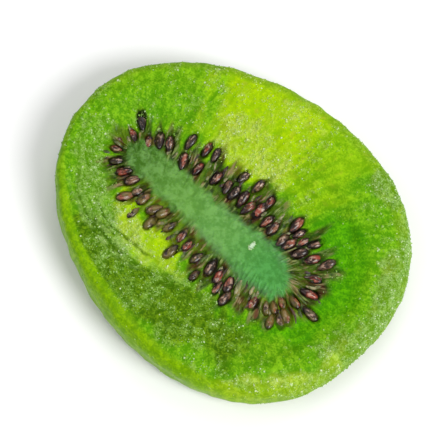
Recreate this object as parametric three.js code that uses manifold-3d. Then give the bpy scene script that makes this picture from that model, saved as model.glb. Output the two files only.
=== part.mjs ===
// A slice of candied, dried kiwi fruit, cut across the fruit and lying on its underside.
// It is one piece of flesh: a thick oval disc with a bulging wall, dished about a long pale core,
// with a ring of seeds set in both cut faces. Millimetres, +Z up, the long way along X.
// The disc is drawn on ovals that share two foci: an oval's half width is called its reach,
// and the angle round it is called the turn, from +X towards +Y.

import * as THREE from "three";
import { mergeVertices } from "three/addons/utils/BufferGeometryUtils.js";
import Module from "manifold-3d";

// Driving dimensions of the slice
const LENGTH = 46;
const WIDTH = 37.4;
const THICKNESS = 6.3;
const WALL_DEPTH = 2.9;
const WALL_SQUARENESS = 2.8;

// The core: a straight line from its thin end to its broad end, with half its width at each
const CORE = {
  thin: { x: -14.0, y: -0.7, radius: 1.4 },
  broad: { x: 8.2, y: -1.2, radius: 2.6 },
  rise: 0.35,
  softness: 0.55,
};

// The cut faces: the dish, the seed chambers round the core, and the hollow of the underside
const DISH = { depth: 1.2, floor: 7.5, brim: 15.0 };
const CHAMBERS = { depth: 0.45, out: 2.3, width: 1.9, count: 24, ridge: 0.14 };
const HOLLOW = { depth: 0.8, floor: 8.0, brim: 12.0, echo: 0.5 };

// How the outline departs from an even oval: waves round it, the share each adds, and its phase
const OUTLINE_WAVES = [
  { count: 1, share: 0.019, phase: 110 },
  { count: 2, share: 0.0185, phase: -87 },
  { count: 3, share: 0.031, phase: 165 },
  { count: 4, share: 0.01, phase: 177 },
];
const OUTLINE_POWER = 3;

// Where drying has curled the rim up off the floor, at a turn in degrees
const CURLS = [
  { rise: 1.1, turn: 72, spread: 60 },
  { rise: 0.6, turn: 205, spread: 45 },
];
const CURL_POWER = 4;

// Broad swells and valleys of the upper face, in a reach and a turn
const SWELLS = [
  { rise: 0.55, reach: 13.0, width: 3.4, turn: 95, spread: 46 },
  { rise: -0.6, reach: 12.2, width: 2.1, turn: 5, spread: 80 },
  { rise: 0.3, reach: 14.8, width: 1.7, turn: 38, spread: 42 },
  { rise: 0.4, reach: 15.0, width: 2.6, turn: 285, spread: 70 },
  { rise: -0.4, reach: 8.4, width: 2.0, turn: 250, spread: 60 },
];

// Creases that run along the rim, from one turn to the next, moving in as they go
const CREASES = [
  { depth: 0.6, reach: 15.0, inward: 5.6, width: 0.9, from: 205, to: 270 },
  { depth: 0.35, reach: 11.2, inward: 3.4, width: 0.7, from: 214, to: 274 },
];

// A seed, how unevenly the seeds lie, and how near two may come, 1 being just clear of each other
const SEED = { length: 2.3, width: 1.2, thickness: 0.95, taper: 0.38, lift: 0.05 };
const JITTER = { along: 0.42, out: 0.65, yaw: 15, size: 0.16 };
const SEED_ROOM = 0.72;

// The rows of seeds in each face: how far out from the core's edge, how far apart, and the share of
// the places that hold a seed beside the thin end and beside the broad end of the core
const UPPER_SEEDS = {
  rows: [
    { out: 1.35, spacing: 1.3, thin: 0.75, broad: 1 },
    { out: 3.1, spacing: 1.3, thin: 0.2, broad: 0.9 },
  ],
  draw: 713,
};
const LOWER_SEEDS = { rows: [{ out: 1.9, spacing: 2.0, thin: 0.9, broad: 1 }], draw: 2903 };

// How the rows depart from the core's edge: how far they fan out beside its ends, in degrees from
// square to its line, how far they bulge beside its middle, and how far they lean to a heading
const FAN = { thin: 33, broad: 22 };
const BULGE = 0.9;
const LEAN = { out: 0.4, heading: 75 };

// How finely the solid is divided
const SEGMENTS = 72;
const FACE_RINGS = [0, 1.3, 2.5, 3.7, 4.9, 6.1, 7.4, 8.8, 10.2, 11.6, 13.0, 14.4];
const WALL_STEPS = 7;
const LOCATE_ROUNDS = 6;
const FINEST = 1e-3;

// How far past the middle height the relief of a face reaches down the wall, as a share of the half
const RELIEF_OVERLAP = 0.2;

const HALF_LENGTH = LENGTH / 2;
const HALF_WIDTH = WIDTH / 2;
const HALF_THICKNESS = THICKNESS / 2;
const FOCUS = Math.sqrt(HALF_LENGTH ** 2 - HALF_WIDTH ** 2);
const FULL_TURN = 2 * Math.PI;
const { clamp, degToRad, lerp, radToDeg, smoothstep } = THREE.MathUtils;

const CORE_LINE = new THREE.Line3(
  new THREE.Vector3(CORE.thin.x, CORE.thin.y, 0),
  new THREE.Vector3(CORE.broad.x, CORE.broad.y, 0),
);
const CORE_CENTRE = CORE_LINE.getCenter(new THREE.Vector3());
const CORE_HEADING = Math.atan2(CORE.broad.y - CORE.thin.y, CORE.broad.x - CORE.thin.x);

// 0 below low, 1 above high, and a smooth rise between
function ramp(low, high, value) {
  return smoothstep(value, low, high);
}

// A round hump of height 1 about the centre
function hump(value, centre, width) {
  return Math.exp(-(((value - centre) / width) ** 2));
}

// A hump of height 1 round the oval, which ends a spread away from its centre, both in degrees
function humpRound(turn, centre, spread) {
  const away = radToDeg(turn) - centre;
  const share = Math.abs(away - 360 * Math.round(away / 360)) / spread;
  return share < 1 ? (1 + Math.cos(Math.PI * share)) / 2 : 0;
}

function outlineSwell(turn) {
  let swell = 0;
  for (const wave of OUTLINE_WAVES) {
    swell += wave.share * Math.cos(wave.count * turn - degToRad(wave.phase));
  }
  return swell;
}

// Where a reach and a turn lie on the slice. The inner ovals are centred on the core and even,
// and the outer ones are centred on the slice and follow its uneven outline.
function place(reach, turn) {
  const share = reach / HALF_WIDTH;
  const swell = 1 + outlineSwell(turn) * share ** OUTLINE_POWER;
  const pull = Math.max(0, 1 - share ** 2);
  return new THREE.Vector3(
    Math.hypot(reach, FOCUS) * Math.cos(turn) * swell + CORE_CENTRE.x * pull,
    reach * Math.sin(turn) * swell + CORE_CENTRE.y * pull,
    0,
  );
}

// The reach and turn of a spot: the even oval's answer, corrected by how far it misses
function locate(spot) {
  const aim = spot.clone();
  let found = null;
  for (let round = 0; round < LOCATE_ROUNDS; round++) {
    const toFar = Math.hypot(aim.x + FOCUS, aim.y);
    const toNear = Math.hypot(aim.x - FOCUS, aim.y);
    const reach = Math.sqrt(Math.max(0, ((toFar + toNear) / 2) ** 2 - FOCUS ** 2));
    const angle = Math.acos(clamp((toFar - toNear) / (2 * FOCUS), -1, 1));
    found = { reach, turn: aim.y < 0 ? FULL_TURN - angle : angle };
    aim.add(spot).sub(place(found.reach, found.turn));
  }
  return found;
}

function coreRadius(share) {
  return lerp(CORE.thin.radius, CORE.broad.radius, share);
}

// How far a spot lies outside the core's edge
function fromCore(spot) {
  const share = CORE_LINE.closestPointToPointParameter(spot, true);
  const foot = CORE_LINE.at(share, new THREE.Vector3());
  return spot.distanceTo(foot) - coreRadius(share);
}

// The core standing up out of the chambers round it, with low walls between them
function middleRelief(spot, turn) {
  const out = fromCore(spot);
  const core = CORE.rise * (1 - ramp(-CORE.softness, CORE.softness, out));
  const ring = hump(out, CHAMBERS.out, CHAMBERS.width);
  const walls = CHAMBERS.ridge * Math.cos(CHAMBERS.count * turn);
  return core + (walls - CHAMBERS.depth) * ring;
}

function creaseRelief(crease, reach, turn) {
  const along = (radToDeg(turn) - crease.from) / (crease.to - crease.from);
  if (along <= 0 || along >= 1) return 0;
  const line = crease.reach - crease.inward * along;
  return -crease.depth * Math.sin(Math.PI * along) * hump(reach, line, crease.width);
}

// How far the upper face lies above or below a flat cut
function upperRelief(spot, reach, turn) {
  let relief = middleRelief(spot, turn) - DISH.depth * (1 - ramp(DISH.floor, DISH.brim, reach));
  for (const swell of SWELLS) {
    relief += swell.rise * hump(reach, swell.reach, swell.width) * humpRound(turn, swell.turn, swell.spread);
  }
  for (const crease of CREASES) relief += creaseRelief(crease, reach, turn);
  return relief;
}

// The underside is hollow inside the flat ring that it rests on, and echoes the core and chambers
function lowerRelief(spot, reach, turn) {
  const hollow = HOLLOW.depth * (1 - ramp(HOLLOW.floor, HOLLOW.brim, reach));
  return hollow - HOLLOW.echo * middleRelief(spot, turn);
}

// The rise of the whole section where the rim has curled
function curl(reach, turn) {
  let rise = 0;
  for (const part of CURLS) rise += part.rise * humpRound(turn, part.turn, part.spread);
  return rise * (reach / HALF_WIDTH) ** CURL_POWER;
}

// The slice's surface: a point of the even disc, given by its reach, turn and height, as dried
function surfacePoint(reach, turn, height) {
  const point = place(reach, turn);
  const side = height / HALF_THICKNESS - 1;
  const upper = upperRelief(point, reach, turn) * ramp(-RELIEF_OVERLAP, 1, side);
  const lower = lowerRelief(point, reach, turn) * ramp(-RELIEF_OVERLAP, 1, -side);
  point.z = height + upper + lower + curl(reach, turn);
  return point;
}

// Half of the even disc's section: along the underside, round the bulging wall, and back on top
function section() {
  const under = FACE_RINGS.map((reach) => new THREE.Vector2(reach, 0));
  const wall = [];
  for (let step = 0; step <= WALL_STEPS; step++) {
    const angle = Math.PI * (step / WALL_STEPS - 0.5);
    const out = Math.abs(Math.cos(angle)) ** (2 / WALL_SQUARENESS);
    const up = Math.sign(angle) * Math.abs(Math.sin(angle)) ** (2 / WALL_SQUARENESS);
    const reach = HALF_WIDTH - WALL_DEPTH + WALL_DEPTH * out;
    wall.push(new THREE.Vector2(reach, HALF_THICKNESS * (1 + up)));
  }
  const over = FACE_RINGS.map((reach) => new THREE.Vector2(reach, THICKNESS)).reverse();
  return [...under, ...wall, ...over];
}

// The flesh: the section is turned on a lathe, and each point then moved to its place as dried.
// The turn is read from the lathe's own u, because the axis opens into the line between the foci.
function fleshGeometry() {
  const outline = section();
  const geometry = new THREE.LatheGeometry(outline, SEGMENTS);
  const position = geometry.getAttribute("position");
  const uv = geometry.getAttribute("uv");
  for (let i = 0; i < position.count; i++) {
    const point = outline[Math.round(uv.getY(i) * (outline.length - 1))];
    const turn = FULL_TURN * ((Math.round(uv.getX(i) * SEGMENTS) % SEGMENTS) / SEGMENTS);
    const moved = surfacePoint(point.x, turn, point.y);
    position.setXYZ(i, moved.x, moved.y, moved.z);
  }
  return geometry;
}

// A seed along X: a flattened egg whose thin end points at -X
function seedGeometry() {
  const geometry = new THREE.OctahedronGeometry(1, 1);
  const position = geometry.getAttribute("position");
  for (let i = 0; i < position.count; i++) {
    const x = position.getX(i);
    const girth = 1 - SEED.taper * ((1 - x) / 2) ** 2;
    position.setXYZ(
      i,
      (x * SEED.length) / 2,
      (position.getY(i) * girth * SEED.width) / 2,
      (position.getZ(i) * girth * SEED.thickness) / 2,
    );
  }
  return geometry;
}

// A repeatable draw of numbers between -1 and 1
function drawer(start) {
  let state = start;
  return () => {
    state = (state * 16807) % 2147483647;
    return (2 * state) / 2147483647 - 1;
  };
}

// The way round the core, some distance out: each leg's length, and from where to where on the
// core's line it runs and faces, in degrees from the line
function coreLegs(out) {
  const broad = 90 - FAN.broad;
  const thin = 90 + FAN.thin;
  const side = CORE_LINE.distance() + degToRad(thin - broad) * (coreRadius(0.5) + out);
  const broadEnd = degToRad(2 * broad) * (coreRadius(1) + out);
  const thinEnd = degToRad(360 - 2 * thin) * (coreRadius(0) + out);
  return [
    { length: side, shares: [0, 1], facings: [-thin, -broad] },
    { length: broadEnd, shares: [1, 1], facings: [-broad, broad] },
    { length: side, shares: [1, 0], facings: [broad, thin] },
    { length: thinEnd, shares: [0, 0], facings: [thin, 360 - thin] },
  ];
}

// A spot beside the core, its heading away from it and its share of the core's line, for a share of
// the way round
function besideCore(way, out) {
  const legs = coreLegs(out);
  let left = way * legs.reduce((sum, leg) => sum + leg.length, 0);
  let leg = legs.shift();
  while (left > leg.length && legs.length > 0) {
    left -= leg.length;
    leg = legs.shift();
  }
  const share = lerp(...leg.shares, left / leg.length);
  const heading = CORE_HEADING + degToRad(lerp(...leg.facings, left / leg.length));
  const spot = CORE_LINE.at(share, new THREE.Vector3());
  const away = new THREE.Vector3(Math.cos(heading), Math.sin(heading), 0);
  const shift = BULGE * Math.sin(Math.PI * share) + LEAN.out * Math.cos(heading - degToRad(LEAN.heading));
  return { spot: spot.addScaledVector(away, coreRadius(share) + out + shift), heading, share };
}

// Whether a seed would lie on one that is already there, seen along its own heading
function isCrowded(seed, placed) {
  return placed.some((other) => {
    const offset = new THREE.Vector2(other.middle.x - seed.middle.x, other.middle.y - seed.middle.y);
    offset.rotateAround(new THREE.Vector2(), -seed.heading);
    return Math.hypot(offset.x / SEED.length, offset.y / SEED.width) < SEED_ROOM;
  });
}

// Where the seeds of one face lie: each in the face, pointing at the core, and not on another
function seedPlaces(seeds, height) {
  const draw = drawer(seeds.draw);
  const placed = [];
  for (const row of seeds.rows) {
    const around = coreLegs(row.out).reduce((sum, leg) => sum + leg.length, 0);
    const count = Math.floor(around / row.spacing);
    for (let k = 0; k < count; k++) {
      const way = (k + 0.5 + JITTER.along * draw()) / count;
      const { spot, heading, share } = besideCore(way, row.out + JITTER.out * draw());
      const yaw = degToRad(JITTER.yaw) * draw();
      const size = 1 + JITTER.size * draw();
      const held = (1 + draw()) / 2 < lerp(row.thin, row.broad, share);
      const { reach, turn } = locate(spot);
      const seed = { middle: surfacePoint(reach, turn, height), heading: heading + yaw, size };
      if (held && !isCrowded(seed, placed)) placed.push(seed);
    }
  }
  return placed;
}

// The seeds of one face, half sunk in it
function seedGeometries(seeds, height) {
  const lift = height > 0 ? SEED.lift : -SEED.lift;
  return seedPlaces(seeds, height).map(({ middle, heading, size }) => {
    const matrix = new THREE.Matrix4().makeRotationZ(heading);
    matrix.scale(new THREE.Vector3(size, size, size));
    matrix.setPosition(middle.x, middle.y, middle.z + lift);
    return seedGeometry().applyMatrix4(matrix);
  });
}

// A closed geometry as a solid that can be joined, with its shared vertices merged
function solidOf(wasm, geometry) {
  const bare = geometry.clone();
  bare.deleteAttribute("normal");
  bare.deleteAttribute("uv");
  const merged = mergeVertices(bare, FINEST);
  return new wasm.Manifold(
    new wasm.Mesh({
      numProp: 3,
      vertProperties: merged.getAttribute("position").array,
      triVerts: new Uint32Array(merged.index.array),
    }),
  );
}

// The body of a joined solid, without loose scraps or the shells of sealed slivers
function largestBody(solid) {
  return solid.decompose().reduce((best, body) => (body.volume() > best.volume() ? body : best));
}

// A solid as a geometry, standing on the floor with its middle over the origin
function centredGeometry(solid) {
  const mesh = solid.getMesh();
  const geometry = new THREE.BufferGeometry();
  geometry.setAttribute("position", new THREE.BufferAttribute(mesh.vertProperties, 3));
  geometry.setIndex(new THREE.BufferAttribute(mesh.triVerts, 1));
  geometry.computeBoundingBox();
  const { min, max } = geometry.boundingBox;
  geometry.translate(-(min.x + max.x) / 2, -(min.y + max.y) / 2, -min.z);
  geometry.computeVertexNormals();
  return geometry;
}

const wasm = await Module();
wasm.setup();

let slice = solidOf(wasm, fleshGeometry());
const seeds = [...seedGeometries(UPPER_SEEDS, THICKNESS), ...seedGeometries(LOWER_SEEDS, 0)];
for (const seed of seeds) slice = slice.add(solidOf(wasm, seed));

const candiedFlesh = new THREE.MeshStandardMaterial({
  color: new THREE.Color().setRGB(0.42, 0.6, 0.12, THREE.SRGBColorSpace),
  roughness: 0.45,
  metalness: 0,
});
const kiwiSlice = new THREE.Mesh(centredGeometry(largestBody(slice)), candiedFlesh);
kiwiSlice.name = "kiwi_slice";

const part = new THREE.Group();
part.add(kiwiSlice);

export default part;
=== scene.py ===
# The looks of a slice of candied, dried kiwi: its fine flesh, its seeds, the strands between them and
# its frost of sugar. The fine flesh is drawn on the same ovals as the solid that it replaces: an oval's
# half width is called its reach, and the angle round it its turn. Shapes are worked out in millimetres.

import math

import bpy
import numpy as np
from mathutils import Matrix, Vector, noise
from mathutils.bvhtree import BVHTree


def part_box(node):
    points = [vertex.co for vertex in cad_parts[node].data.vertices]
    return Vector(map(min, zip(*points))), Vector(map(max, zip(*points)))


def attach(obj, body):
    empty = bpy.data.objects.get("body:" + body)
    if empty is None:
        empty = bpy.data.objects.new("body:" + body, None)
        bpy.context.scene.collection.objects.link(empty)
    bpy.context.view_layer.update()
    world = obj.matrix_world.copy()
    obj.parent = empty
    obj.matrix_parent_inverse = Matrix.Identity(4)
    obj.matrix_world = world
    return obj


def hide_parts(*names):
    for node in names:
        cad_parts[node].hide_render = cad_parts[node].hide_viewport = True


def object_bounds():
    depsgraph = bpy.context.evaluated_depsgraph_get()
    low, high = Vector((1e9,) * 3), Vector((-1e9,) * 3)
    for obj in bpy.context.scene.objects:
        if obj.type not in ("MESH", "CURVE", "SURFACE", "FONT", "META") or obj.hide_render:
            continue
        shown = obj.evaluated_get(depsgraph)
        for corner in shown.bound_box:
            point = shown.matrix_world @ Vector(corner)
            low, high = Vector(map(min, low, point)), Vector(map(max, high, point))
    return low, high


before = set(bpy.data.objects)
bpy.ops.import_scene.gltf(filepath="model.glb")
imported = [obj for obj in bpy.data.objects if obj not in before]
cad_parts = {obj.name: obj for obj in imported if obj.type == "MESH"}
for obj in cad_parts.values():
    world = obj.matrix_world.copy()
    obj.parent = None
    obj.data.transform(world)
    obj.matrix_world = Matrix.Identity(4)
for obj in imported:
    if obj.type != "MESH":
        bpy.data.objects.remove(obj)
CAD_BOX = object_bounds()
SLICE_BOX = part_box("kiwi_slice")

MM = 0.001
FULL_TURN = 2 * math.pi

# The slice as cut, and the oval's foci
LENGTH = 46.0
WIDTH = 37.4
THICKNESS = 6.3
WALL_DEPTH = 2.9
WALL_SQUARENESS = 2.8
HALF_LENGTH = LENGTH / 2
HALF_WIDTH = WIDTH / 2
HALF_THICKNESS = THICKNESS / 2
FOCUS = math.sqrt(HALF_LENGTH**2 - HALF_WIDTH**2)

# The core: a straight line from its thin end to its broad end, with half its width at each
CORE_THIN = np.array([-14.0, -0.7])
CORE_BROAD = np.array([8.2, -1.2])
CORE_RADII = (1.4, 2.6)
CORE_RISE = 0.35
CORE_SOFTNESS = 0.55
CORE_LINE = CORE_BROAD - CORE_THIN
CORE_SIDE = float(np.hypot(*CORE_LINE))
CORE_CENTRE = (CORE_THIN + CORE_BROAD) / 2
CORE_HEADING = math.atan2(CORE_LINE[1], CORE_LINE[0])

# The cut faces: the dish, the seed chambers round the core, and the hollow of the underside
DISH = {"depth": 1.2, "floor": 7.5, "brim": 15.0}
CHAMBERS = {"depth": 0.45, "out": 2.3, "width": 1.9, "count": 24, "ridge": 0.14}
HOLLOW = {"depth": 0.8, "floor": 8.0, "brim": 12.0, "echo": 0.5}

# How the outline departs from an even oval: waves round it, the share each adds, and its phase
OUTLINE_WAVES = ((1, 0.019, 110), (2, 0.0185, -87), (3, 0.031, 165), (4, 0.01, 177))
OUTLINE_POWER = 3

# Where drying has curled the rim up off the floor: its rise, its turn and its spread in degrees
CURLS = ((1.1, 72, 60), (0.6, 205, 45))
CURL_POWER = 4

# Broad swells and valleys of the upper face: rise, reach, width, turn and spread
SWELLS = (
    (0.55, 13.0, 3.4, 95, 46),
    (-0.6, 12.2, 2.1, 5, 80),
    (0.3, 14.8, 1.7, 38, 42),
    (0.4, 15.0, 2.6, 285, 70),
    (-0.4, 8.4, 2.0, 250, 60),
)

# Creases along the rim: depth, reach, how far they move in, width, and from which turn to which
CREASES = ((0.6, 15.0, 5.6, 0.9, 205, 270), (0.35, 11.2, 3.4, 0.7, 214, 274))

# How far past the middle height the relief of a face reaches down the wall, as a share of the half
RELIEF_OVERLAP = 0.2

# One seed, how unevenly the seeds lie, and how near two may come, 1 being just clear of each other
SEED = {"length": 2.3, "width": 1.2, "thickness": 0.95, "taper": 0.38, "lift": 0.05}
JITTER = {"along": 0.42, "out": 0.65, "yaw": 15, "size": 0.16}
SEED_ROOM = 0.72

# The rows of seeds in each face: how far out from the core's edge, how far apart, and the share of
# the places that hold a seed beside the thin end and beside the broad end of the core
UPPER_SEEDS = {"rows": ((1.35, 1.3, (0.75, 1)), (3.1, 1.3, (0.2, 0.9))), "draw": 713}
LOWER_SEEDS = {"rows": ((1.9, 2.0, (0.9, 1)),), "draw": 2903}

# How the rows depart from the core's edge: how far they fan out beside its ends, in degrees from
# square to its line, how far they bulge beside its middle, and how far they lean to a heading
FAN = {"thin": 33, "broad": 22}
THIN_FACING = 90 + FAN["thin"]
BROAD_FACING = 90 - FAN["broad"]
BULGE = 0.9
LEAN = {"out": 0.4, "heading": 75}

# How finely the flesh is divided
SEGMENTS = 576
RING_STEP = 0.15
RING_ZONE = 8.4
FIELD_RINGS = 30
WALL_STEPS = 46
LOWER_RINGS = 34

# How many rounds the two searches take that find where a spot lies
LOCATE_ROUNDS = 8
HALVINGS = 14


# Curves that the forms are drawn with

def ramp(low, high, value):
    """0 below low, 1 above high, and a smooth rise between."""
    share = np.clip((value - low) / (high - low), 0, 1)
    return share * share * (3 - 2 * share)


def hump(value, centre, width):
    """A round hump of height 1 about the centre."""
    return np.exp(-(((value - centre) / width) ** 2))


def hump_round(turn, centre, spread):
    """A hump of height 1 round the oval, which ends a spread away from its centre, both in degrees."""
    away = np.degrees(turn) - centre
    share = np.abs(away - 360 * np.round(away / 360)) / spread
    return np.where(share < 1, (1 + np.cos(math.pi * np.minimum(share, 1))) / 2, 0)


def humps_round(turn, humps):
    """The sum of humps round the oval, each with its height, its centre and its spread."""
    return sum(height * hump_round(turn, centre, spread) for height, centre, spread in humps)


def part_way(ends, share):
    """The value that lies a share of the way from one end to the other."""
    return ends[0] + (ends[1] - ends[0]) * share


def rough(points, depth, size, start):
    """Smooth noise, mostly between -0.5 and 0.5 times its depth, whose bumps are a size across in the
    points' units. Each use has a start of its own in the noise, so that no two are alike."""
    shift = Vector((start, 0.7 * start, 1.3 * start))
    return depth * np.array([noise.noise(Vector(point) + shift) for point in (points / size).tolist()])


# The form of the slice, the same as its solid's

def outline_swell(turn):
    return sum(share * np.cos(count * turn - math.radians(phase)) for count, share, phase in OUTLINE_WAVES)


def place(reach, turn):
    """Where a reach and a turn lie on the slice."""
    share = reach / HALF_WIDTH
    swell = 1 + outline_swell(turn) * share**OUTLINE_POWER
    pull = np.maximum(0, 1 - share**2)
    along = np.hypot(reach, FOCUS) * np.cos(turn) * swell + CORE_CENTRE[0] * pull
    across = reach * np.sin(turn) * swell + CORE_CENTRE[1] * pull
    return np.stack([along, across], axis=-1)


def locate(spot):
    """The reach and turn of a spot: the even oval's answer, corrected by how far it misses."""
    aim = spot.copy()
    for _ in range(LOCATE_ROUNDS):
        to_far = np.hypot(aim[..., 0] + FOCUS, aim[..., 1])
        to_near = np.hypot(aim[..., 0] - FOCUS, aim[..., 1])
        reach = np.sqrt(np.maximum(0, ((to_far + to_near) / 2) ** 2 - FOCUS**2))
        angle = np.arccos(np.clip((to_far - to_near) / (2 * FOCUS), -1, 1))
        turn = np.where(aim[..., 1] < 0, FULL_TURN - angle, angle)
        aim = aim + spot - place(reach, turn)
    return reach, turn


def core_radius(share):
    return part_way(CORE_RADII, share)


def core_foot(spot):
    """The share of the core's line that lies nearest to a spot, and the way from there to the spot."""
    share = np.clip((spot - CORE_THIN) @ CORE_LINE / CORE_SIDE**2, 0, 1)
    return share, spot - (CORE_THIN + share[..., None] * CORE_LINE)


def from_core(spot):
    """How far a spot lies outside the core's edge."""
    share, away = core_foot(spot)
    return np.hypot(away[..., 0], away[..., 1]) - core_radius(share)


def middle_relief(spot, turn):
    """The core standing up out of the chambers round it, with low walls between them."""
    out = from_core(spot)
    core = CORE_RISE * (1 - ramp(-CORE_SOFTNESS, CORE_SOFTNESS, out))
    ring = hump(out, CHAMBERS["out"], CHAMBERS["width"])
    walls = CHAMBERS["ridge"] * np.cos(CHAMBERS["count"] * turn)
    return core + (walls - CHAMBERS["depth"]) * ring


def crease_share(reach, turn, line_reach, inward, width, start, end):
    """How much of a crease's depth it has at a reach and a turn."""
    along = (np.degrees(turn) - start) / (end - start)
    inside = (along > 0) & (along < 1)
    return np.where(inside, np.sin(math.pi * along) * hump(reach, line_reach - inward * along, width), 0)


def upper_relief(spot, reach, turn):
    """How far the upper face lies above or below a flat cut."""
    relief = middle_relief(spot, turn) - DISH["depth"] * (1 - ramp(DISH["floor"], DISH["brim"], reach))
    for rise, at_reach, width, at_turn, spread in SWELLS:
        relief = relief + rise * hump(reach, at_reach, width) * hump_round(turn, at_turn, spread)
    for depth, *line in CREASES:
        relief = relief - depth * crease_share(reach, turn, *line)
    return relief


def lower_relief(spot, reach, turn):
    """The underside is hollow inside the ring that it rests on, and echoes the core and the chambers."""
    hollow = HOLLOW["depth"] * (1 - ramp(HOLLOW["floor"], HOLLOW["brim"], reach))
    return hollow - HOLLOW["echo"] * middle_relief(spot, turn)


def curl(reach, turn):
    """The rise of the whole section where the rim has curled."""
    return humps_round(turn, CURLS) * (reach / HALF_WIDTH) ** CURL_POWER


def face_shares(height):
    """How much of the upper and of the lower face's relief a height of the even disc takes."""
    side = height / HALF_THICKNESS - 1
    return ramp(-RELIEF_OVERLAP, 1, side), ramp(-RELIEF_OVERLAP, 1, -side)


def surface_point(reach, turn, height):
    """A point of the even disc's surface, as dried."""
    spot = place(reach, turn)
    upper, lower = face_shares(height)
    lift = upper * upper_relief(spot, reach, turn) + lower * lower_relief(spot, reach, turn)
    up = height + lift + curl(reach, turn)
    return np.concatenate([spot, np.expand_dims(up, -1)], axis=-1)


# The places of the seeds, drawn by the same rule as in the solid

def drawer(start):
    """A repeatable draw of numbers between -1 and 1."""
    state = start

    def draw():
        nonlocal state
        state = state * 16807 % 2147483647
        return 2 * state / 2147483647 - 1

    return draw


def core_legs(out):
    """The way round the core, some distance out: the length of each leg, and from where to where on
    the core's line it runs and faces, in degrees from the line."""
    side = CORE_SIDE + math.radians(THIN_FACING - BROAD_FACING) * (core_radius(0.5) + out)
    broad_end = math.radians(2 * BROAD_FACING) * (core_radius(1) + out)
    thin_end = math.radians(360 - 2 * THIN_FACING) * (core_radius(0) + out)
    return [
        (side, (0, 1), (-THIN_FACING, -BROAD_FACING)),
        (broad_end, (1, 1), (-BROAD_FACING, BROAD_FACING)),
        (side, (1, 0), (BROAD_FACING, THIN_FACING)),
        (thin_end, (0, 0), (THIN_FACING, 360 - THIN_FACING)),
    ]


# How far round the core the first row of seeds runs, as the radius of a circle
ROW_RADIUS = sum(length for length, _, _ in core_legs(UPPER_SEEDS["rows"][0][0])) / FULL_TURN


def row_shift(share, heading):
    """How much further out than elsewhere the rows lie, beside a share of the line and to a heading."""
    lean = LEAN["out"] * np.cos(heading - math.radians(LEAN["heading"]))
    return BULGE * np.sin(math.pi * share) + lean


def beside_core(way, out):
    """A spot beside the core, its heading away from it and its share of the core's line, for a share
    of the way round."""
    legs = core_legs(out)
    left = way * sum(length for length, _, _ in legs)
    length, shares, facings = legs.pop(0)
    while left > length and legs:
        left -= length
        length, shares, facings = legs.pop(0)
    share = part_way(shares, left / length)
    heading = CORE_HEADING + math.radians(part_way(facings, left / length))
    away = np.array([math.cos(heading), math.sin(heading)])
    spot = CORE_THIN + share * CORE_LINE + away * (core_radius(share) + out + row_shift(share, heading))
    return spot, heading, share


def is_crowded(seed, placed):
    """Whether a seed would lie on one that is already there, seen along its own heading."""
    for other in placed:
        across, along = other["middle"][:2] - seed["middle"][:2], seed["heading"]
        forward = across[0] * math.cos(along) + across[1] * math.sin(along)
        sideways = across[1] * math.cos(along) - across[0] * math.sin(along)
        if math.hypot(forward / SEED["length"], sideways / SEED["width"]) < SEED_ROOM:
            return True
    return False


def seed_places(seeds, height):
    """Where the seeds of one face lie: each in the face, pointing at the core, and not on another."""
    draw = drawer(seeds["draw"])
    placed = []
    for row, spacing, held_shares in seeds["rows"]:
        around = sum(length for length, _, _ in core_legs(row))
        count = math.floor(around / spacing)
        for k in range(count):
            way = (k + 0.5 + JITTER["along"] * draw()) / count
            spot, heading, share = beside_core(way, row + JITTER["out"] * draw())
            heading += math.radians(JITTER["yaw"]) * draw()
            size = 1 + JITTER["size"] * draw()
            held = (1 + draw()) / 2 < part_way(held_shares, share)
            middle = surface_point(*locate(spot), np.array(height))
            seed = {"middle": middle, "heading": heading, "size": size}
            if held and not is_crowded(seed, placed):
                placed.append(seed)
    return placed


UPPER_PLACES = seed_places(UPPER_SEEDS, THICKNESS)
LOWER_PLACES = seed_places(LOWER_SEEDS, 0.0)


def seed_distance(spot, places):
    """How far spots lie from the nearest seed's middle, where 1 is on a seed's own outline."""
    nearest = np.full(len(spot), np.inf)
    for seed in places:
        offset = spot - seed["middle"][:2]
        cosine, sine = math.cos(seed["heading"]), math.sin(seed["heading"])
        forward = (offset[:, 0] * cosine + offset[:, 1] * sine) * 2 / SEED["length"]
        sideways = (offset[:, 1] * cosine - offset[:, 0] * sine) * 2 / SEED["width"]
        nearest = np.minimum(nearest, np.hypot(forward, sideways) / seed["size"])
    return nearest


def fan(spot):
    """The ray from the core's line that each spot lies on: the share of the line where it starts, its
    heading, and its way round the core along the first row of seeds, as an angle from the broad tip."""
    ahead = CORE_LINE / CORE_SIDE
    forward = (spot - CORE_THIN) @ ahead
    sideways = (spot - CORE_THIN) @ np.array([-ahead[1], ahead[0]])
    low, high = np.zeros(len(spot)), np.ones(len(spot))
    for _ in range(HALVINGS):
        share = (low + high) / 2
        facing = np.radians(part_way((THIN_FACING, BROAD_FACING), share))
        past = forward - share * CORE_SIDE > np.abs(sideways) / np.tan(facing)
        low, high = np.where(past, share, low), np.where(past, high, share)
    # Beside the ends of the line all rays start at its last point
    at_broad = np.degrees(np.arctan2(np.abs(sideways), forward - CORE_SIDE))
    at_thin = np.degrees(np.arctan2(np.abs(sideways), forward))
    round_broad, round_thin = at_broad < BROAD_FACING, at_thin > THIN_FACING
    share = np.where(round_broad, 1, np.where(round_thin, 0, share))
    facing = part_way((THIN_FACING, BROAD_FACING), share)
    facing = np.where(round_broad, at_broad, np.where(round_thin, at_thin, facing))
    (side, *_), (broad_end, *_), _, (thin_end, *_) = core_legs(UPPER_SEEDS["rows"][0][0])
    way = np.minimum(facing / BROAD_FACING, 1) * broad_end / 2 + (1 - share) * side
    way = way + np.maximum((facing - THIN_FACING) / (180 - THIN_FACING), 0) * thin_end / 2
    hand = np.where(sideways < 0, -1, 1)
    return share, CORE_HEADING + hand * np.radians(facing), hand * math.pi * way / way.max()


# The flesh's surface

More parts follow.
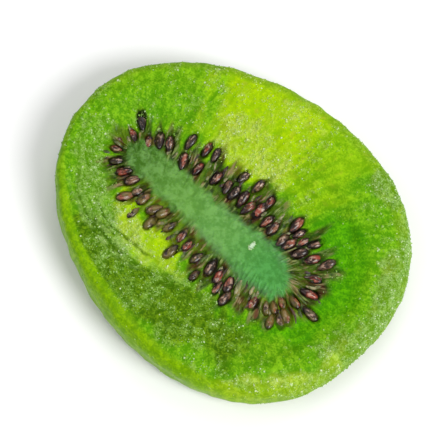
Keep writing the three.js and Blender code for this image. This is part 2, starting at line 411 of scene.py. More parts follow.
def section():
    """Half of the even disc's section: along the underside, round the bulging wall, and back on top."""
    edge = HALF_WIDTH - WALL_DEPTH
    under = [(reach, 0.0) for reach in np.linspace(0, edge, LOWER_RINGS, endpoint=False)]
    wall = []
    for angle in np.linspace(-math.pi / 2, math.pi / 2, WALL_STEPS + 1):
        out = abs(math.cos(angle)) ** (2 / WALL_SQUARENESS)
        up = math.copysign(abs(math.sin(angle)) ** (2 / WALL_SQUARENESS), angle)
        wall.append((edge + WALL_DEPTH * out, HALF_THICKNESS * (1 + up)))
    inner = np.linspace(0, RING_ZONE, round(RING_ZONE / RING_STEP), endpoint=False)
    outer = np.linspace(RING_ZONE, edge, FIELD_RINGS, endpoint=False)
    over = [(reach, THICKNESS) for reach in reversed([*inner, *outer])]
    return np.array(under + wall + over)


class Flesh:
    """The fine surface as flat arrays, one entry for each vertex, and its faces."""

    def __init__(self):
        outline = section()
        rings = len(outline)
        turns = FULL_TURN * np.arange(SEGMENTS) / SEGMENTS
        index = np.arange(rings * SEGMENTS).reshape(rings, SEGMENTS)
        # The first and last ring are shut: each is the line between the foci, and its two sides meet
        across = (-np.arange(SEGMENTS)) % SEGMENTS
        for ring in (0, -1):
            index[ring] = np.minimum(index[ring], index[ring][across])
        kept, index = np.unique(index, return_inverse=True)
        index = index.reshape(rings, SEGMENTS)
        following = np.roll(index, -1, axis=1)
        quads = np.stack([index[:-1], following[:-1], following[1:], index[1:]], axis=-1)
        self.faces = quads.reshape(-1, 4)
        self.reach = np.repeat(outline[:, 0], SEGMENTS)[kept]
        self.height = np.repeat(outline[:, 1], SEGMENTS)[kept]
        self.turn = np.tile(turns, rings)[kept]
        self.spot = place(self.reach, self.turn)
        self.out = from_core(self.spot)
        self.share, heading, self.way = fan(self.spot)
        self.row_out = self.out - row_shift(self.share, heading)
        self.upper, self.lower = face_shares(self.height)
        self.points = surface_point(self.reach, self.turn, self.height)


flesh = Flesh()

# The shared frame: the form's own middle goes where the solid's is, and its lowest point on the floor
box_low = flesh.points.min(axis=0)
box_high = flesh.points.max(axis=0)
cad_low, cad_high = (np.array(corner) / MM for corner in SLICE_BOX)
SHIFT = (cad_low + cad_high) / 2 - (box_low + box_high) / 2
SHIFT[2] = cad_low[2] - box_low[2]


# Looks over the surface, from 0 to 1 at each vertex

def round_oval(form, stretch):
    """Coordinates for noise that is drawn out along the reach, or round the oval if stretch is over 1."""
    return round_vector(form.turn, HALF_WIDTH, form.reach * stretch)


def round_core(form, stretch):
    """Coordinates for noise that is drawn out away from the core."""
    return round_vector(form.way, ROW_RADIUS, form.out * stretch)


def round_vector(angle, radius, other):
    return np.stack([np.cos(angle) * radius, np.sin(angle) * radius, other], axis=-1)


# Values of three numbers for rough noise are its depth, its size and its start.

# How the edges of the patches wander, in and out and aside, and how their sides are drawn out in streaks
WANDER_IN = ((2.2, 5.0, 61.0), (0.9, 1.5, 67.0))
WANDER_ASIDE = ((2.2, 5.0, 111.0), (0.9, 1.5, 117.0))
STREAK = (1.3, 0.9, 71.3)
STREAK_STRETCH = 0.14
# Nearer to the middle than this, what moves a patch aside doesn't turn it any further
STREAK_REACH = 4.6


def loosened(form):
    """The reach, and the turn in degrees, moved by noise, so that no patch has an even edge."""
    inward = sum(rough(form.points, *wander) for wander in WANDER_IN)
    aside = sum(rough(form.points, *wander) for wander in WANDER_ASIDE)
    aside = aside + rough(round_oval(form, STREAK_STRETCH), *STREAK)
    return form.reach + inward, np.degrees(form.turn + aside / np.maximum(form.reach, STREAK_REACH))


# A patch lies between two reaches. It starts and ends at turns that are given for its inner and for
# its outer reach. Its edges are soft over some millimetres, and the last number is its strength.

# Yellow flesh: riper flesh, and in part a painted glow of light that passes through thin flesh
GLOWS = (
    (7.2, 19.5, (82, 84), (123, 125), 1.8, 1.0),
    (5.0, 8.8, (228, 228), (274, 280), 1.1, 0.88),
    (6.4, 11.0, (84, 84), (118, 118), 0.8, 0.6),
    (8.0, 19.5, (64, 61), (82, 84), 1.3, 0.42),
    (14.0, 19.5, (128, 128), (170, 170), 2.0, 0.2),
    (17.2, 21.0, (302, 302), (346, 346), 0.9, 0.6),
)
# Clear, deep green flesh, with painted shade in the valleys
DEEP_AND_SHADED_PATCHES = (
    (9.6, 15.0, (-36, -30), (57, 45), 1.5, 0.74),
    (7.0, 11.6, (-56, -56), (50, 50), 1.3, 0.55),
    (9.6, 13.0, (136, 136), (158, 158), 1.6, 0.35),
    (9.0, 17.6, (44, 44), (64, 64), 1.2, 0.22),
)
# Painted shade: the dull field, where the flesh under the sugar is drawn darker
PAINTED_SHADE_PATCHES = (
    (9.2, 15.6, (236, 222), (316, 306), 1.5, 1.0),
    (7.4, 10.6, (296, 296), (392, 392), 1.2, 0.7),
    (8.4, 16.0, (194, 194), (240, 240), 1.8, 0.25),
    (14.8, 17.8, (236, 236), (276, 276), 1.0, 0.3),
    (12.0, 16.6, (302, 302), (338, 338), 1.4, 0.32),
)
# The underside is dull and deep in clouds: their strength, their size, and where they start in the noise
DULL_CLOUDS = (0.8, 8.0, 21.1)
DEEP_CLOUDS = (0.9, 8.0, 57.9)
CLOUD_EDGE = (0.0, 0.3)
# The rim beyond the valley, pale all through
RIMS = ((17.1, 19.8, (-66, -66), (60, 60), 0.7, 1.0),)
# Where the sugar lies thicker than elsewhere
FROST_FIELDS = (
    (7.4, 14.6, (176, 176), (234, 228), 1.5, 0.47),
    (17.0, 19.5, (-66, -66), (62, 62), 0.7, 0.5),
    (5.4, 9.6, (226, 226), (284, 284), 1.0, 0.4),
    (9.0, 15.4, (240, 240), (312, 312), 1.6, 0.1),
    (12.0, 17.0, (76, 76), (100, 100), 1.6, 0.2),
    (6.6, 11.6, (80, 80), (122, 122), 1.0, 0.52),
    (15.3, 16.3, (256, 256), (304, 304), 0.4, 0.2),
    (9.6, 17.4, (54, 62), (66, 75), 0.8, -0.4),
    (9.8, 15.2, (-44, -36), (57, 46), 1.2, -0.28),
)
FROST_BASE = 0.24


def patch(form, inner, outer, starts, ends, soft):
    reach, turn = form.loose
    share = np.clip((form.reach - inner) / (outer - inner), 0, 1)
    start, end = part_way(starts, share), part_way(ends, share)
    away = turn - (start + end) / 2
    away = np.abs(away - 360 * np.round(away / 360))
    blur = np.degrees(soft / np.maximum(form.reach, inner))
    across = ramp(inner - soft, inner + soft, reach) * (1 - ramp(outer - soft, outer + soft, reach))
    return across * (1 - ramp(-1, 1, (away - (end - start) / 2) / blur))


def patches(form, fields):
    return sum(strength * patch(form, *field) for *field, strength in fields)


def clouded(form, fields, strength, size, start):
    """The patches of the upper face, and clouds on the underside."""
    clouds = strength * ramp(*CLOUD_EDGE, rough(form.points, 1, size, start))
    return np.clip(patches(form, fields), 0, 1) * form.upper + clouds * form.lower


# The edge between the upper face and the wall: its reach, where it lies further in or out, how it
# wavers, how soft it is, and the heights over which the wall passes into either cut face
WALL_REACH = 17.3
WALL_SHIFTS = ((-1.5, 220, 32), (-1.4, 256, 34), (1.0, 320, 42), (-0.3, 150, 60))
WALL_WAVER = (0.35, 2.4, 83.1)
WALL_SOFT = 0.35
WALL_TOP = (THICKNESS - 1.1, THICKNESS - 0.3)
WALL_FOOT = (0.1, 1.1)
# Where the wall is clear: its strength, its turn and its spread in degrees
CLEAR_WALL_AT = ((1.8, 266, 86),)


def wall_share(form):
    """1 on the wall, where the fruit was peeled, and 0 on the cut faces."""
    edge = WALL_REACH + humps_round(form.turn, WALL_SHIFTS) + rough(form.points, *WALL_WAVER)
    top = ramp(edge - WALL_SOFT, edge + WALL_SOFT, form.reach)
    side = (1 - ramp(*WALL_TOP, form.height)) * ramp(*WALL_FOOT, form.height)
    return np.maximum(top * ramp(HALF_THICKNESS, THICKNESS, form.height), side)


def smooth_wall(form):
    """1 on the part of the wall that is clear and sticky, with hardly any sugar."""
    return wall_share(form) * np.minimum(1, humps_round(form.turn, CLEAR_WALL_AT))


# How a crease shows: how wide its dark line of painted shade is and where its pale banks lie, partly sugar
# and partly painted highlight, as shares of the crease's width, the share of its length over which it fades,
# and how it wanders
CREASE_LOOK = {"line": 0.42, "bank": 0.8, "fade": 0.3}
CREASE_WANDER = (0.4, 2.0, 7.9)


def crease_lines(form):
    """The painted shade along the bottom of each crease, and the banks on both sides of it, which are partly
    sugar and partly painted highlight.
    """
    reach = form.reach + rough(form.points, *CREASE_WANDER)
    lines, banks = 0, 0
    for _, line_reach, inward, width, start, end in CREASES:
        along = (np.degrees(form.turn) - start) / (end - start)
        held = ramp(0, CREASE_LOOK["fade"], along) * ramp(0, CREASE_LOOK["fade"], 1 - along) * form.upper
        away = np.abs(reach - line_reach + inward * along) / width
        lines = lines + held * hump(away, 0, CREASE_LOOK["line"])
        banks = banks + held * hump(away, CREASE_LOOK["bank"], CREASE_LOOK["line"])
    return np.clip(lines, 0, 1), np.clip(banks, 0, 1)


# The sugar's clumps, the sugar on the wall, the share of it that the clear wall lacks, and how far from
# the jelly's edge the sugar starts and is whole
FROST_CLUMPS = ((0.3, 3.2, 91.7), (0.5, 1.2, 97.3))
WALL_FROST = ((0.35, 10, 110),)
CLEAR_WALL_LACK = 0.9
FROST_START = (-1.0, 1.2)


def frost_share(form):
    frost = FROST_BASE + patches(form, FROST_FIELDS) * form.upper
    frost = frost + sum(rough(form.points, *clumps) for clumps in FROST_CLUMPS)
    frost = frost + wall_share(form) * humps_round(form.turn, WALL_FROST)
    frost = frost * (1 - CLEAR_WALL_LACK * smooth_wall(form))
    return np.clip(frost, 0, 1) * ramp(*FROST_START, form.row_out - form.ring_edge)


# How far the colour of the core reaches past its raised edge: all round, and in bulges, each with
# its depth, its share of the core's line, its width there, and its side of the line
CORE_BLEED = 0.3
CORE_BULGES = ((0.8, 0.15, 0.32, 1), (0.7, 0.83, 0.16, -1), (0.35, 0.78, 0.1, 1), (-1.0, 1.0, 0.07, 1))
# How near to the core's line, as the sine of the way round it, a bulge fades from its own side
SIDE_EDGE = 0.3


def bulge(form, bulges):
    """How much further out than elsewhere an edge round the core lies."""
    side = np.sin(form.way)
    return sum(
        depth * hump(form.share, share, width) * ramp(-SIDE_EDGE, SIDE_EDGE, side * hand)
        for depth, share, width, hand in bulges
    )


def core_edge(form):
    """How far a point lies outside the edge of the core's colour."""
    return form.out - CORE_BLEED - bulge(form, CORE_BULGES)


# Where the jelly and the seeds in it are hazy and olive: strength, turn and spread in degrees
HAZES = ((0.9, 335, 34), (0.6, 182, 26), (0.8, 250, 42))


def haze_at(turn):
    return np.clip(humps_round(turn, HAZES), 0, 1)


# The jelly round the seeds: how far out its edge is beside the thin and the broad end of the core, its
# bulges, how soft it is inside and outside, and the streaks of its edge
RING_EDGE = (2.4, 4.2)
RING_BULGES = ((0.7, 0.56, 0.2, 1), (-0.9, 1.0, 0.1, 1), (-0.4, 1.0, 0.1, -1))
RING_INSIDE = (-1.5, -0.7)
RING_OUTSIDE = (-0.7, 1.0)
RING_STREAK = (2.6, 0.8, 19.1)
RING_STRETCH = 0.12


def ring_share(form):
    """1 in the jelly between the seeds, with an edge that is drawn out in streaks."""
    streaks = rough(round_core(form, RING_STRETCH), *RING_STREAK)
    outside = ramp(*RING_OUTSIDE, form.row_out - form.ring_edge - streaks)
    return ramp(*RING_INSIDE, form.out) * (1 - outside)


# Fine ridges between the seeds, in two sizes: each size's height, width across, sharpness and start
THREADS = ((1.0, 1.1, 0.1, 29.9), (0.7, 0.6, 0.13, 53.3))
THREAD_STRETCH = 0.16


def thread_share(form):
    """1 on the crest of a ridge that runs out between the seeds."""
    drawn_out = round_core(form, THREAD_STRETCH)
    crests = [
        height * (1 - ramp(0, sharp, np.abs(rough(drawn_out, 1, wide, start))))
        for height, wide, sharp, start in THREADS
    ]
    return np.maximum(*crests)


# The fine relief that drying and the sugar give the flesh, in millimetres out of the surface

# The size of what is drawn out is its width across, and its stretch is its width against its length
WRINKLE = (0.24, 1.5, 3.1)
WRINKLE_STRETCH = 1.5 / 5.0
LUMP = (0.2, 2.2, 11.7)
GRAIN = (1, 0.62, 23.9)
GRAIN_DEPTH = 0.16
# The share of the grain's depth that bare flesh and sugar each give
GRAIN_SHARES = (0.3, 0.7)
RAY = (0.08, 0.6, 37.3)
RAY_STRETCH = 0.6 / 7.0
CORE_WAVE = (0.1, 1.9, 5.5)
CORE_RAY = (0.07, 0.7, 8.8)
CORE_RAY_STRETCH = 0.2
CORE_RAY_ROOM = 0.6
WALL_WAVE = (0.16, 6.0, 41.9)
WALL_WAVE_HEIGHT = 2.4
WALL_GRAIN = (0.05, 0.9, 47.1)
THREAD_DEPTH = 0.17
# Each seed lies in a pit with a lip, which is broken in places
PIT = {"depth": 0.16, "bottom": 0.95, "edge": 1.4}
LIP = {"depth": 0.14, "gap": 1.32, "width": 0.2, "whole": 0.6}
LIP_BREAK = (1, 0.9, 15.3)
# How far outside the core's raised edge its own relief ends, and the flesh's starts
CORE_SKIN = (-1.2, 0.2)
FLESH_START = (-0.2, 0.4)
# The relief fades out near the floor and near the top of the box
REST_ROOM = 0.35
TOP_ROOM = 0.7


def relief(form):
    field = 1 - np.maximum(form.ring, 1 - ramp(*FLESH_START, form.out))
    core = 1 - ramp(*CORE_SKIN, form.out)
    core_rim = 1 - ramp(-CORE_RAY_ROOM, CORE_RAY_ROOM, np.abs(form.out))
    wall = wall_share(form)
    round_wall = round_vector(form.turn, HALF_WIDTH, form.height * WALL_WAVE[1] / WALL_WAVE_HEIGHT)
    grain = GRAIN_DEPTH * form.grain * (GRAIN_SHARES[0] + GRAIN_SHARES[1] * form.frost)
    wrinkles = rough(round_oval(form, 1 / WRINKLE_STRETCH) * WRINKLE_STRETCH, *WRINKLE)
    rays = rough(round_oval(form, RAY_STRETCH), *RAY)
    lip = hump(form.gap, LIP["gap"], LIP["width"]) * (LIP["whole"] + rough(form.points, *LIP_BREAK))
    lift = field * (rough(form.points, *LUMP) + (wrinkles + rays + grain) * (1 - wall))
    lift += core * rough(form.points, *CORE_WAVE)
    lift += core_rim * rough(round_core(form, CORE_RAY_STRETCH), *CORE_RAY)
    lift += wall * (rough(round_wall, *WALL_WAVE) + rough(form.points, *WALL_GRAIN))
    lift += THREAD_DEPTH * form.thread * form.ring + LIP["depth"] * lip
    lift -= PIT["depth"] * (1 - ramp(PIT["bottom"], PIT["edge"], form.gap))
    return lift


# How near to the core the flesh is measured for seeds, and the gap that stands for none near
SEED_REACH = 8
NO_SEED = 9.0


def seed_gap_of(form):
    """How far each point lies from the nearest seed of its face, where 1 is on the seed's outline."""
    gap = np.full(len(form.reach), NO_SEED)
    near = form.out < SEED_REACH
    for share, places in ((form.upper, UPPER_PLACES), (form.lower, LOWER_PLACES)):
        chosen = near & (share > 0.5)
        gap[chosen] = seed_distance(form.spot[chosen], places)
    return gap


# How much of the yellow of the upper face the underside has too
GLOW_THROUGH = 0.4

flesh.ring_edge = part_way(RING_EDGE, flesh.share) + bulge(flesh, RING_BULGES)
flesh.loose = loosened(flesh)
flesh.frost = frost_share(flesh)
flesh.glow = np.clip(patches(flesh, GLOWS), 0, 1) * part_way((GLOW_THROUGH, 1), flesh.upper)
flesh.ring = ring_share(flesh)
flesh.thread = thread_share(flesh)
flesh.grain = rough(flesh.points, *GRAIN)
flesh.gap = seed_gap_of(flesh)


# Meshes

def mesh_from(name, points, faces, smooth=True):
    """A new piece from points in millimetres, in the slice's own frame."""
    mesh = bpy.data.meshes.new(name)
    mesh.from_pydata(((points + SHIFT) * MM).tolist(), [], faces)
    mesh.polygons.foreach_set("use_smooth", np.full(len(mesh.polygons), smooth))
    mesh.update()
    piece = bpy.data.objects.new(name, mesh)
    bpy.context.scene.collection.objects.link(piece)
    return piece


def vertex_normals(mesh):
    normals = np.empty(len(mesh.vertices) * 3, dtype=np.float32)
    mesh.vertex_normals.foreach_get("vector", normals)
    return normals.reshape(-1, 3)


def write_looks(piece, **looks):
    """Keeps numbers or vectors of each vertex for the material, by their names."""
    for name, values in looks.items():
        kind, field = ("FLOAT", "value") if values.ndim == 1 else ("FLOAT_VECTOR", "vector")
        made = piece.data.attributes.new(name, kind, "POINT")
        made.data.foreach_set(field, values.astype(np.float32).ravel())


def move_points(piece, points):
    piece.data.vertices.foreach_set("co", ((points + SHIFT) * MM).astype(np.float32).ravel())
    piece.data.update()


def make_flesh():
    piece = mesh_from("kiwi_flesh", flesh.points, flesh.faces.tolist())
    lift = relief(flesh)
    normals = vertex_normals(piece.data)
    height = flesh.points[:, 2]
    lift = np.where(normals[:, 2] < 0, lift * ramp(0, REST_ROOM, height), lift)
    lift = np.where(lift > 0, lift * (1 - ramp(box_high[2] - TOP_ROOM, box_high[2], height)), lift)
    flesh.points = flesh.points + normals * lift[:, None]
    flesh.points[:, 2] = np.maximum(flesh.points[:, 2], box_low[2])
    move_points(piece, flesh.points)
    # The creases' dark lines are painted shade, and their banks partly sugar and partly painted highlight
    crease, bank = crease_lines(flesh)
    write_looks(
        piece,
        frost=flesh.frost,
        grain=flesh.grain,
        glow=flesh.glow,
        # On the upper face the dull field is painted shade and the deep field is clear flesh with painted
        # shade in its valleys; on the underside both are clouds
        deep=clouded(flesh, DEEP_AND_SHADED_PATCHES, *DEEP_CLOUDS),
        dull=clouded(flesh, PAINTED_SHADE_PATCHES, *DULL_CLOUDS),
        rim=np.clip(patches(flesh, RIMS), 0, 1),
        wall=wall_share(flesh),
        clear_wall=smooth_wall(flesh),
        crease=crease,
        bank=bank,
        out=core_edge(flesh),
        core_share=flesh.share,
        ring=flesh.ring,
        haze=haze_at(flesh.turn),
        thread=flesh.thread,
        gap=flesh.gap,
        round_oval=round_oval(flesh, 1),
        round_core=round_core(flesh, 1),
    )
    return piece


def between(ends, draw):
    """A number drawn between two ends."""
    return part_way(ends, (1 + draw()) / 2)


# The seeds as smooth, flattened drops

SEED_RINGS = 12
SEED_SIDES = 14
# How unevenly the seeds are tipped, in degrees, and how deep they lie, in millimetres
SEED_DRAW = 4177
SEED_PITCH = 14
SEED_ROLL = 30
SEED_SINK = (0.02, 0.4)
# How far apart the seeds take their streaks from, so that no two are alike
SEED_STRIDE = 5.3
# How much of the jelly's film lies over the seeds: in the hazy parts, and drawn for each
SEED_FILM = (0.7, 0.14)


def seed_shape():
    """One seed along X, its thin end at -X: points within 1 of the middle before it gets its size."""
    points = [(-1.0, 0.0, 0.0)]
    for angle in np.linspace(math.pi, 0, SEED_RINGS + 1)[1:-1]:
        x = math.cos(angle)
        girth = math.sin(angle) * (1 - SEED["taper"] * ((1 - x) / 2) ** 2)
        for side in range(SEED_SIDES):
            facing = FULL_TURN * side / SEED_SIDES
            points.append((x, girth * math.cos(facing), girth * math.sin(facing)))
    points.append((1.0, 0.0, 0.0))
    return np.array(points)


def seed_faces():
    last = 1 + (SEED_RINGS - 1) * SEED_SIDES
    faces = []
    for side in range(SEED_SIDES):
        after = (side + 1) % SEED_SIDES
        faces.append((0, 1 + after, 1 + side))
        for ring in range(SEED_RINGS - 2):
            here, beyond = 1 + ring * SEED_SIDES, 1 + (ring + 1) * SEED_SIDES
            faces.append((here + side, here + after, beyond + after, beyond + side))
        end = last - SEED_SIDES
        faces.append((end + side, end + after, last))
    return faces


def swung(first, second, angle):
    """Two coordinates of some points, turned together by an angle."""
    cosine, sine = math.cos(angle), math.sin(angle)
    return first * cosine - second * sine, first * sine + second * cosine


def tumbled(points, pitch, roll, heading):
    x, y, z = points.T
    y, z = swung(y, z, roll)
    x, z = swung(x, z, pitch)
    x, y = swung(x, y, heading)
    return np.stack([x, y, z], axis=-1)


def make_seeds():
    shape, faces = seed_shape(), seed_faces()
    half = np.array([SEED["length"], SEED["width"], SEED["thickness"]]) / 2
    draw = drawer(SEED_DRAW)
    points, joined = [], []
    looks = {"tone": [], "crest": [], "along": [], "film": []}
    for places, up in ((UPPER_PLACES, 1), (LOWER_PLACES, -1)):
        for seed in places:
            pitch, roll = math.radians(SEED_PITCH) * draw(), math.radians(SEED_ROLL) * draw()
            drop = tumbled(shape * half * seed["size"], pitch, roll, seed["heading"])
            height = up * (SEED["lift"] - between(SEED_SINK, draw))
            _, turn = locate(seed["middle"][:2])
            looks["tone"].append(np.full(len(shape), between((0, 1), draw)))
            looks["crest"].append(np.clip(shape[:, 2] * up, -1, 1))
            looks["along"].append(shape * half + SEED_STRIDE * len(points))
            looks["film"].append(np.full(len(shape), SEED_FILM[0] * haze_at(turn) + SEED_FILM[1] * draw()))
            joined += [tuple(corner + len(points) * len(shape) for corner in face) for face in faces]
            points.append(drop + seed["middle"] + (0, 0, height))
    piece = mesh_from("kiwi_seeds", np.concatenate(points), joined)
    write_looks(piece, **{name: np.concatenate(values) for name, values in looks.items()})
    return piece


# The strands between the seeds: flat, tapered threads of flesh that run out from the core's edge

STRANDS = {"count": 120, "draw": 6551, "steps": 9, "sides": 6, "wide": 0.21, "high": 0.1, "sunk": 0.03}
# How far outside the core's edge a strand starts, its length, and the share by which it is longer
# beside the broad end of the core and shorter beside the thin end
STRAND_START = (0.3, 2.2)
STRAND_LENGTH = (0.6, 1.8)
STRAND_GROWTH = 0.35
# How unevenly strands turn, in radians, bend, as a share of their length, are spaced and are thick
STRAND_YAW = 0.3
STRAND_BEND = 0.12
STRAND_JITTER = 0.45
STRAND_UNEVEN = 0.4
# The part of a half wave that a strand's thickness follows from end to end, and how full it is
STRAND_TAPER = (0.06, 0.94)
STRAND_FULLNESS = 0.7


def strand_path(flesh_tree, draw, way):
    """The middle line of one strand, on the flesh, and the way across it."""
    start = between(STRAND_START, draw)
    spot, heading, share = beside_core(way, start)
    length = between(STRAND_LENGTH, draw) * part_way((1 - STRAND_GROWTH, 1 + STRAND_GROWTH), share)
    heading += STRAND_YAW * draw()
    bend = STRAND_BEND * length * draw()
    ahead = np.array([math.cos(heading), math.sin(heading)])
    across = np.array([-ahead[1], ahead[0]])
    middles = []
    for step in np.linspace(0, 1, STRANDS["steps"]):
        here = spot + ahead * length * step + across * bend * math.sin(math.pi * step)
        above = Vector(((here[0] + SHIFT[0]) * MM, (here[1] + SHIFT[1]) * MM, 1))
        hit = flesh_tree.ray_cast(above, Vector((0, 0, -1)))[0]
        middles.append((here[0], here[1], hit.z / MM - SHIFT[2] - STRANDS["sunk"]))
    return np.array(middles), np.array([*across, 0])


def make_strands(flesh_tree):
    draw = drawer(STRANDS["draw"])
    steps, sides = STRANDS["steps"], STRANDS["sides"]
    angles = FULL_TURN * np.arange(sides) / sides
    swell = np.sin(math.pi * np.linspace(*STRAND_TAPER, steps)) ** STRAND_FULLNESS
    points, faces, tones = [], [], []
    for k in range(STRANDS["count"]):
        way = (k + 0.5 + STRAND_JITTER * draw()) / STRANDS["count"]
        middles, across = strand_path(flesh_tree, draw, way)
        size = 1 + STRAND_UNEVEN * draw()
        base = k * steps * sides
        for middle, girth in zip(middles, swell * size):
            for angle in angles:
                up = STRANDS["high"] * math.sin(angle)
                points.append(middle + girth * (STRANDS["wide"] * math.cos(angle) * across + (0, 0, up)))
        for step in range(steps - 1):
            for side in range(sides):
                after = (side + 1) % sides
                here, beyond = base + step * sides, base + (step + 1) * sides
                faces.append((here + side, beyond + side, beyond + after, here + after))
        faces.append(tuple(base + side for side in range(sides)))
        faces.append(tuple(base + (steps - 1) * sides + side for side in reversed(range(sides))))
        tones.append(np.full(steps * sides, between((0, 1), draw)))
    piece = mesh_from("kiwi_strands", np.array(points), faces)
    write_looks(piece, tone=np.concatenate(tones))
    return piece


# The sugar: small uneven crystals, half sunk in the flesh and thicker in the frosted fields

SUGAR = {"count": 19000, "draw": 20, "smallest": 0.09, "spread": 0.24}
# How much smaller than the largest most grains are, and how much they keep to thick frost and to the
# crests of the flesh's grain
SUGAR_POWERS = {"size": 4, "frost": 1.6, "crest": 1.5}
# How many grains lie on a plain stretch, against those in the hollows and on the crests of the grain
CRESTS = {"plain": 0.5, "gain": 2, "limits": (-0.4, 1)}
# How uneven a crystal is, corner by corner and across each of its axes
CORNER_SIZES = (0.7, 1.3)
AXIS_SIZES = (0.7, 1.2)
# A small clump of sugar on the core, white in part as a painted highlight: its place, its size, how many
# grains it has and how big they are
CLUMP = {"spot": (3.97, -0.25), "size": (0.24, 0.46), "count": 60, "grain": 0.27}
# An even crystal of size 1
CRYSTAL_CORNERS = np.array([(1, 0, 0), (-1, 0, 0), (0, 1, 0), (0, -1, 0), (0, 0, 1), (0, 0, -1)]) / 2
CRYSTAL_FACES = np.array([
    (0, 2, 4), (2, 1, 4), (1, 3, 4), (3, 0, 4), (2, 0, 5), (1, 2, 5), (3, 1, 5), (0, 3, 5),
])


def crystal_corners(generator, count):
    """Octahedra, each made uneven and turned at random."""
    uneven = CRYSTAL_CORNERS * generator.uniform(*CORNER_SIZES, (count, len(CRYSTAL_CORNERS), 1))
    uneven = uneven * generator.uniform(*AXIS_SIZES, (count, 1, 3))
    turn = generator.normal(size=(count, 4))
    w, x, y, z = (turn / np.linalg.norm(turn, axis=1, keepdims=True)).T
    matrix = np.array([
        [1 - 2 * (y * y + z * z), 2 * (x * y - w * z), 2 * (x * z + w * y)],
        [2 * (x * y + w * z), 1 - 2 * (x * x + z * z), 2 * (y * z - w * x)],
        [2 * (x * z - w * y), 2 * (y * z + w * x), 1 - 2 * (x * x + y * y)],
    ])
    return np.einsum("ijk,klj->kli", matrix, uneven)


def clump_share(first_corners):
    """How much of the clump's middle each face has, by its first corner."""
    away = np.hypot(*((flesh.spot[first_corners] - CLUMP["spot"]) / CLUMP["size"]).T)
    return hump(away, 0, 1) * (flesh.upper[first_corners] > 0.5)


def sugar_weights(corners, clump):
    """How likely each face of the flesh is to hold a grain. None lies on the floor or past the box."""
    area = np.linalg.norm(np.cross(corners[:, 2] - corners[:, 0], corners[:, 3] - corners[:, 1]), axis=1)
    frost = flesh.frost[flesh.faces].mean(axis=1)
    grain = flesh.grain[flesh.faces].mean(axis=1)
    crests = CRESTS["plain"] + np.clip(grain * CRESTS["gain"], *CRESTS["limits"])
    height = corners[:, :, 2]
    clear = (height.min(axis=1) > box_low[2] + REST_ROOM) & (height.max(axis=1) < box_high[2])
    weight = area * frost ** SUGAR_POWERS["frost"] * crests ** SUGAR_POWERS["crest"] * clear
    weight += clump * weight.sum() / clump.sum() * CLUMP["count"] / SUGAR["count"]
    return weight / weight.sum()


def make_sugar():
    generator = np.random.default_rng(SUGAR["draw"])
    corners = flesh.points[flesh.faces]
    clump = clump_share(flesh.faces[:, 0])
    chosen = generator.choice(len(corners), SUGAR["count"], p=sugar_weights(corners, clump))
    across, along = generator.uniform(size=(2, SUGAR["count"], 1))
    near = corners[chosen, 0] * (1 - across) + corners[chosen, 1] * across
    far = corners[chosen, 3] * (1 - across) + corners[chosen, 2] * across
    middle = near * (1 - along) + far * along
    white_and_painted_glint = ramp(0, 0.5, clump[chosen])
    size = generator.uniform(size=SUGAR["count"]) ** SUGAR_POWERS["size"]
    size = SUGAR["smallest"] + SUGAR["spread"] * size
    size = np.maximum(size, CLUMP["grain"] * white_and_painted_glint)[:, None, None]
    points = (middle[:, None] + crystal_corners(generator, SUGAR["count"]) * size).reshape(-1, 3)
    first_corners = len(CRYSTAL_CORNERS) * np.arange(SUGAR["count"])
    faces = (CRYSTAL_FACES + first_corners[:, None, None]).reshape(-1, 3)
    piece = mesh_from("sugar_frost", points, faces.tolist(), smooth=False)
    tone, glow = generator.uniform(size=SUGAR["count"]), flesh.glow[flesh.faces[chosen, 0]]
    looks = {"tone": tone, "white_and_painted_glint": white_and_painted_glint, "glow": glow}
    write_looks(piece, **{name: np.repeat(of_each, len(CRYSTAL_CORNERS)) for name, of_each in looks.items()})
    return piece


# Materials

# How much brighter than its own colour a surface is seen in the studio's light, and what its gloss adds
LIGHT_GAIN = 1.25
GLOSS = 0.006


def shade(red, green, blue):
    """The surface's own colour, for a colour from 0 to 255 as it is seen in the studio's light."""
    seen = (value / 255 for value in (red, green, blue))
    linear = (c / 12.92 if c <= 0.04045 else ((c + 0.055) / 1.055) ** 2.4 for c in seen)
    return (*(max(0, c - GLOSS) / LIGHT_GAIN for c in linear), 1)


class Wire:
    """A socket in a material, which + - and * join to others by Math nodes."""

    def __init__(self, finish, socket):
        self.finish = finish
        self.socket = socket

    def maths(self, operation, *values):
        return self.finish.node("ShaderNodeMath", {"operation": operation}, dict(enumerate(values)))

    def __add__(self, other):
        return self.maths("ADD", self, other)

    def __sub__(self, other):
        return self.maths("SUBTRACT", self, other)

    def __rsub__(self, other):
        return self.maths("SUBTRACT", other, self)

    def __mul__(self, other):
        return self.maths("MULTIPLY", self, other)

    def __abs__(self):
        return self.maths("ABSOLUTE", self)

    __radd__ = __add__
    __rmul__ = __mul__

    def ramp(self, low, high):
        """0 below low, 1 above high, and a smooth rise between."""
        settings = {"interpolation_type": "SMOOTHSTEP"}
        inputs = {"Value": self, "From Min": low, "From Max": high}
        return self.finish.node("ShaderNodeMapRange", settings, inputs)


